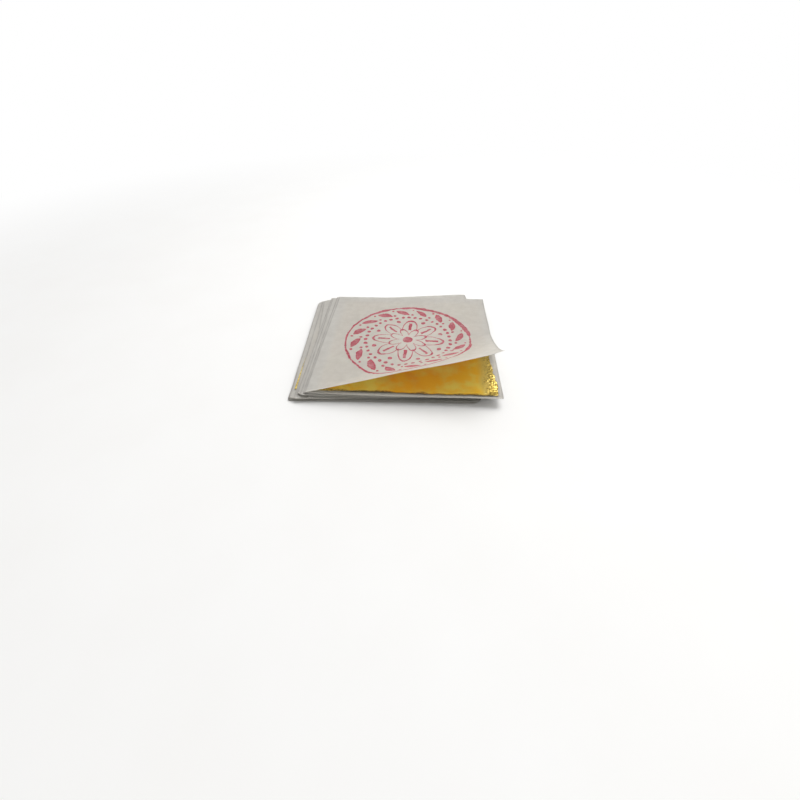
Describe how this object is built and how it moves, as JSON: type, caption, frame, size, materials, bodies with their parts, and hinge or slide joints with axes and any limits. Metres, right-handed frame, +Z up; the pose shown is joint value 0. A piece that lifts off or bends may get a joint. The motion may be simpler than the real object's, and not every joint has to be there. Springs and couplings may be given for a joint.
{
  "type": "gold leaf booklet",
  "caption": "Loose square pile of folded thin paper packets, each holding a beaten gold leaf, the top cover stamped in red and curled up at one corner.",
  "frame": {"origin": "on the face that the pile rests on, under its middle", "axes": "+Z up through the pile, -Y towards the open front edges, +Y towards the folds, +X to the right seen from the front"},
  "size_m": [0.0461, 0.0443, 0.012],
  "materials": {
    "packet_paper": "thin uncoated tissue, matt, slightly translucent",
    "stamped_paper": "thin uncoated tissue, matt, printed with a red rubber stamp",
    "gold": "beaten gold leaf, crinkled, bright"
  },
  "bodies": {
    "base_leaf_01": {"base_leaf_01": "packet_paper"},
    "gold_leaf_01": {"gold_leaf_01": "gold"},
    "cover_leaf_01": {"cover_leaf_01": "stamped_paper"},
    "base_leaf_02": {"base_leaf_02": "packet_paper"},
    "gold_leaf_02": {"gold_leaf_02": "gold"},
    "cover_leaf_02": {"cover_leaf_02": "stamped_paper"},
    "base_leaf_03": {"base_leaf_03": "packet_paper"},
    "gold_leaf_03": {"gold_leaf_03": "gold"},
    "cover_leaf_03": {"cover_leaf_03": "stamped_paper"},
    "base_leaf_04": {"base_leaf_04": "packet_paper"},
    "gold_leaf_04": {"gold_leaf_04": "gold"},
    "cover_leaf_04": {"cover_leaf_04": "stamped_paper"},
    "base_leaf_05": {"base_leaf_05": "packet_paper"},
    "gold_leaf_05": {"gold_leaf_05": "gold"},
    "cover_leaf_05": {"cover_leaf_05": "stamped_paper"},
    "base_leaf_06": {"base_leaf_06": "packet_paper"},
    "gold_leaf_06": {"gold_leaf_06": "gold"},
    "cover_leaf_06": {"cover_leaf_06": "stamped_paper"},
    "base_leaf_07": {"base_leaf_07": "packet_paper"},
    "gold_leaf_07": {"gold_leaf_07": "gold"},
    "cover_leaf_07": {"cover_leaf_07": "stamped_paper"},
    "base_leaf_08": {"base_leaf_08": "packet_paper"},
    "gold_leaf_08": {"gold_leaf_08": "gold"},
    "cover_leaf_08": {"cover_leaf_08": "stamped_paper"},
    "base_leaf_09": {"base_leaf_09": "packet_paper"},
    "gold_leaf_09": {"gold_leaf_09": "gold"},
    "cover_leaf_09": {"cover_leaf_09": "stamped_paper"},
    "base_leaf_10": {"base_leaf_10": "packet_paper"},
    "gold_leaf_10": {"gold_leaf_10": "gold"},
    "cover_leaf_10": {"cover_leaf_10": "stamped_paper"}
  },
  "joints": [
    {"name": "gold_slide_01", "type": "slide", "parent": "base_leaf_01", "child": "gold_leaf_01", "axis": [-0.0349, -0.9994, 0], "range_m": [0, 0.045]},
    {"name": "cover_hinge_01", "type": "hinge", "parent": "base_leaf_01", "child": "cover_leaf_01", "pos_m": [-0.0009, 0.01971, 0.00008], "axis": [-0.9994, 0.0349, 0], "range_deg": [0, 18]},
    {"name": "packet_lift_02", "type": "slide", "parent": "cover_leaf_01", "child": "base_leaf_02", "axis": [0, 0, 1], "range_m": [0, 0.015]},
    {"name": "gold_slide_02", "type": "slide", "parent": "base_leaf_02", "child": "gold_leaf_02", "axis": [-0.0279, -0.9996, 0], "range_m": [0, 0.045]},
    {"name": "cover_hinge_02", "type": "hinge", "parent": "base_leaf_02", "child": "cover_leaf_02", "pos_m": [-0.00124, 0.01991, 0.00029], "axis": [-0.9996, 0.0279, 0], "range_deg": [0, 18]},
    {"name": "packet_lift_03", "type": "slide", "parent": "cover_leaf_02", "child": "base_leaf_03", "axis": [0, 0, 1], "range_m": [0, 0.015]},
    {"name": "gold_slide_03", "type": "slide", "parent": "base_leaf_03", "child": "gold_leaf_03", "axis": [-0.0052, -1, 0], "range_m": [0, 0.045]},
    {"name": "cover_hinge_03", "type": "hinge", "parent": "base_leaf_03", "child": "cover_leaf_03", "pos_m": [-0.002, 0.02042, 0.0005], "axis": [-1, 0.0052, 0], "range_deg": [0, 18]},
    {"name": "packet_lift_04", "type": "slide", "parent": "cover_leaf_03", "child": "base_leaf_04", "axis": [0, 0, 1], "range_m": [0, 0.015]},
    {"name": "gold_slide_04", "type": "slide", "parent": "base_leaf_04", "child": "gold_leaf_04", "axis": [0.0035, -1, 0], "range_m": [0, 0.045]},
    {"name": "cover_hinge_04", "type": "hinge", "parent": "base_leaf_04", "child": "cover_leaf_04", "pos_m": [-0.00207, 0.02052, 0.00071], "axis": [-1, -0.0035, 0], "range_deg": [0, 18]},
    {"name": "packet_lift_05", "type": "slide", "parent": "cover_leaf_04", "child": "base_leaf_05", "axis": [0, 0, 1], "range_m": [0, 0.015]},
    {"name": "gold_slide_05", "type": "slide", "parent": "base_leaf_05", "child": "gold_leaf_05", "axis": [0.0035, -1, 0], "range_m": [0, 0.045]},
    {"name": "cover_hinge_05", "type": "hinge", "parent": "base_leaf_05", "child": "cover_leaf_05", "pos_m": [-0.00097, 0.02012, 0.00092], "axis": [-1, -0.0035, 0], "range_deg": [0, 18]},
    {"name": "packet_lift_06", "type": "slide", "parent": "cover_leaf_05", "child": "base_leaf_06", "axis": [0, 0, 1], "range_m": [0, 0.015]},
    {"name": "gold_slide_06", "type": "slide", "parent": "base_leaf_06", "child": "gold_leaf_06", "axis": [0.061, -0.9981, 0], "range_m": [0, 0.045]},
    {"name": "cover_hinge_06", "type": "hinge", "parent": "base_leaf_06", "child": "cover_leaf_06", "pos_m": [-0.00062, 0.02123, 0.00113], "axis": [-0.9981, -0.061, 0], "range_deg": [0, 18]},
    {"name": "packet_lift_07", "type": "slide", "parent": "cover_leaf_06", "child": "base_leaf_07", "axis": [0, 0, 1], "range_m": [0, 0.015]},
    {"name": "gold_slide_07", "type": "slide", "parent": "base_leaf_07", "child": "gold_leaf_07", "axis": [-0.0419, -0.9991, 0], "range_m": [0, 0.045]},
    {"name": "cover_hinge_07", "type": "hinge", "parent": "base_leaf_07", "child": "cover_leaf_07", "pos_m": [0.00143, 0.02, 0.00134], "axis": [-0.9991, 0.0419, 0], "range_deg": [0, 18]},
    {"name": "packet_lift_08", "type": "slide", "parent": "cover_leaf_07", "child": "base_leaf_08", "axis": [0, 0, 1], "range_m": [0, 0.015]},
    {"name": "gold_slide_08", "type": "slide", "parent": "base_leaf_08", "child": "gold_leaf_08", "axis": [-0.0332, -0.9995, 0], "range_m": [0, 0.045]},
    {"name": "cover_hinge_08", "type": "hinge", "parent": "base_leaf_08", "child": "cover_leaf_08", "pos_m": [0.00186, 0.01961, 0.00155], "axis": [-0.9995, 0.0332, 0], "range_deg": [0, 18]},
    {"name": "packet_lift_09", "type": "slide", "parent": "cover_leaf_08", "child": "base_leaf_09", "axis": [0, 0, 1], "range_m": [0, 0.015]},
    {"name": "gold_slide_09", "type": "slide", "parent": "base_leaf_09", "child": "gold_leaf_09", "axis": [-0.0523, -0.9986, 0], "range_m": [0, 0.045]},
    {"name": "cover_hinge_09", "type": "hinge", "parent": "base_leaf_09", "child": "cover_leaf_09", "pos_m": [0.00314, 0.01949, 0.00176], "axis": [-0.9986, 0.0523, 0], "range_deg": [0, 18]},
    {"name": "packet_lift_10", "type": "slide", "parent": "cover_leaf_09", "child": "base_leaf_10", "axis": [0, 0, 1], "range_m": [0, 0.015]},
    {"name": "gold_slide_10", "type": "slide", "parent": "base_leaf_10", "child": "gold_leaf_10", "axis": [-0.0576, -0.9983, 0], "range_m": [0, 0.045]},
    {"name": "cover_hinge_10", "type": "hinge", "parent": "base_leaf_10", "child": "cover_leaf_10", "pos_m": [0.00375, 0.01919, 0.00197], "axis": [0.9983, -0.0576, 0], "range_deg": [-160, 0]}
  ]
}
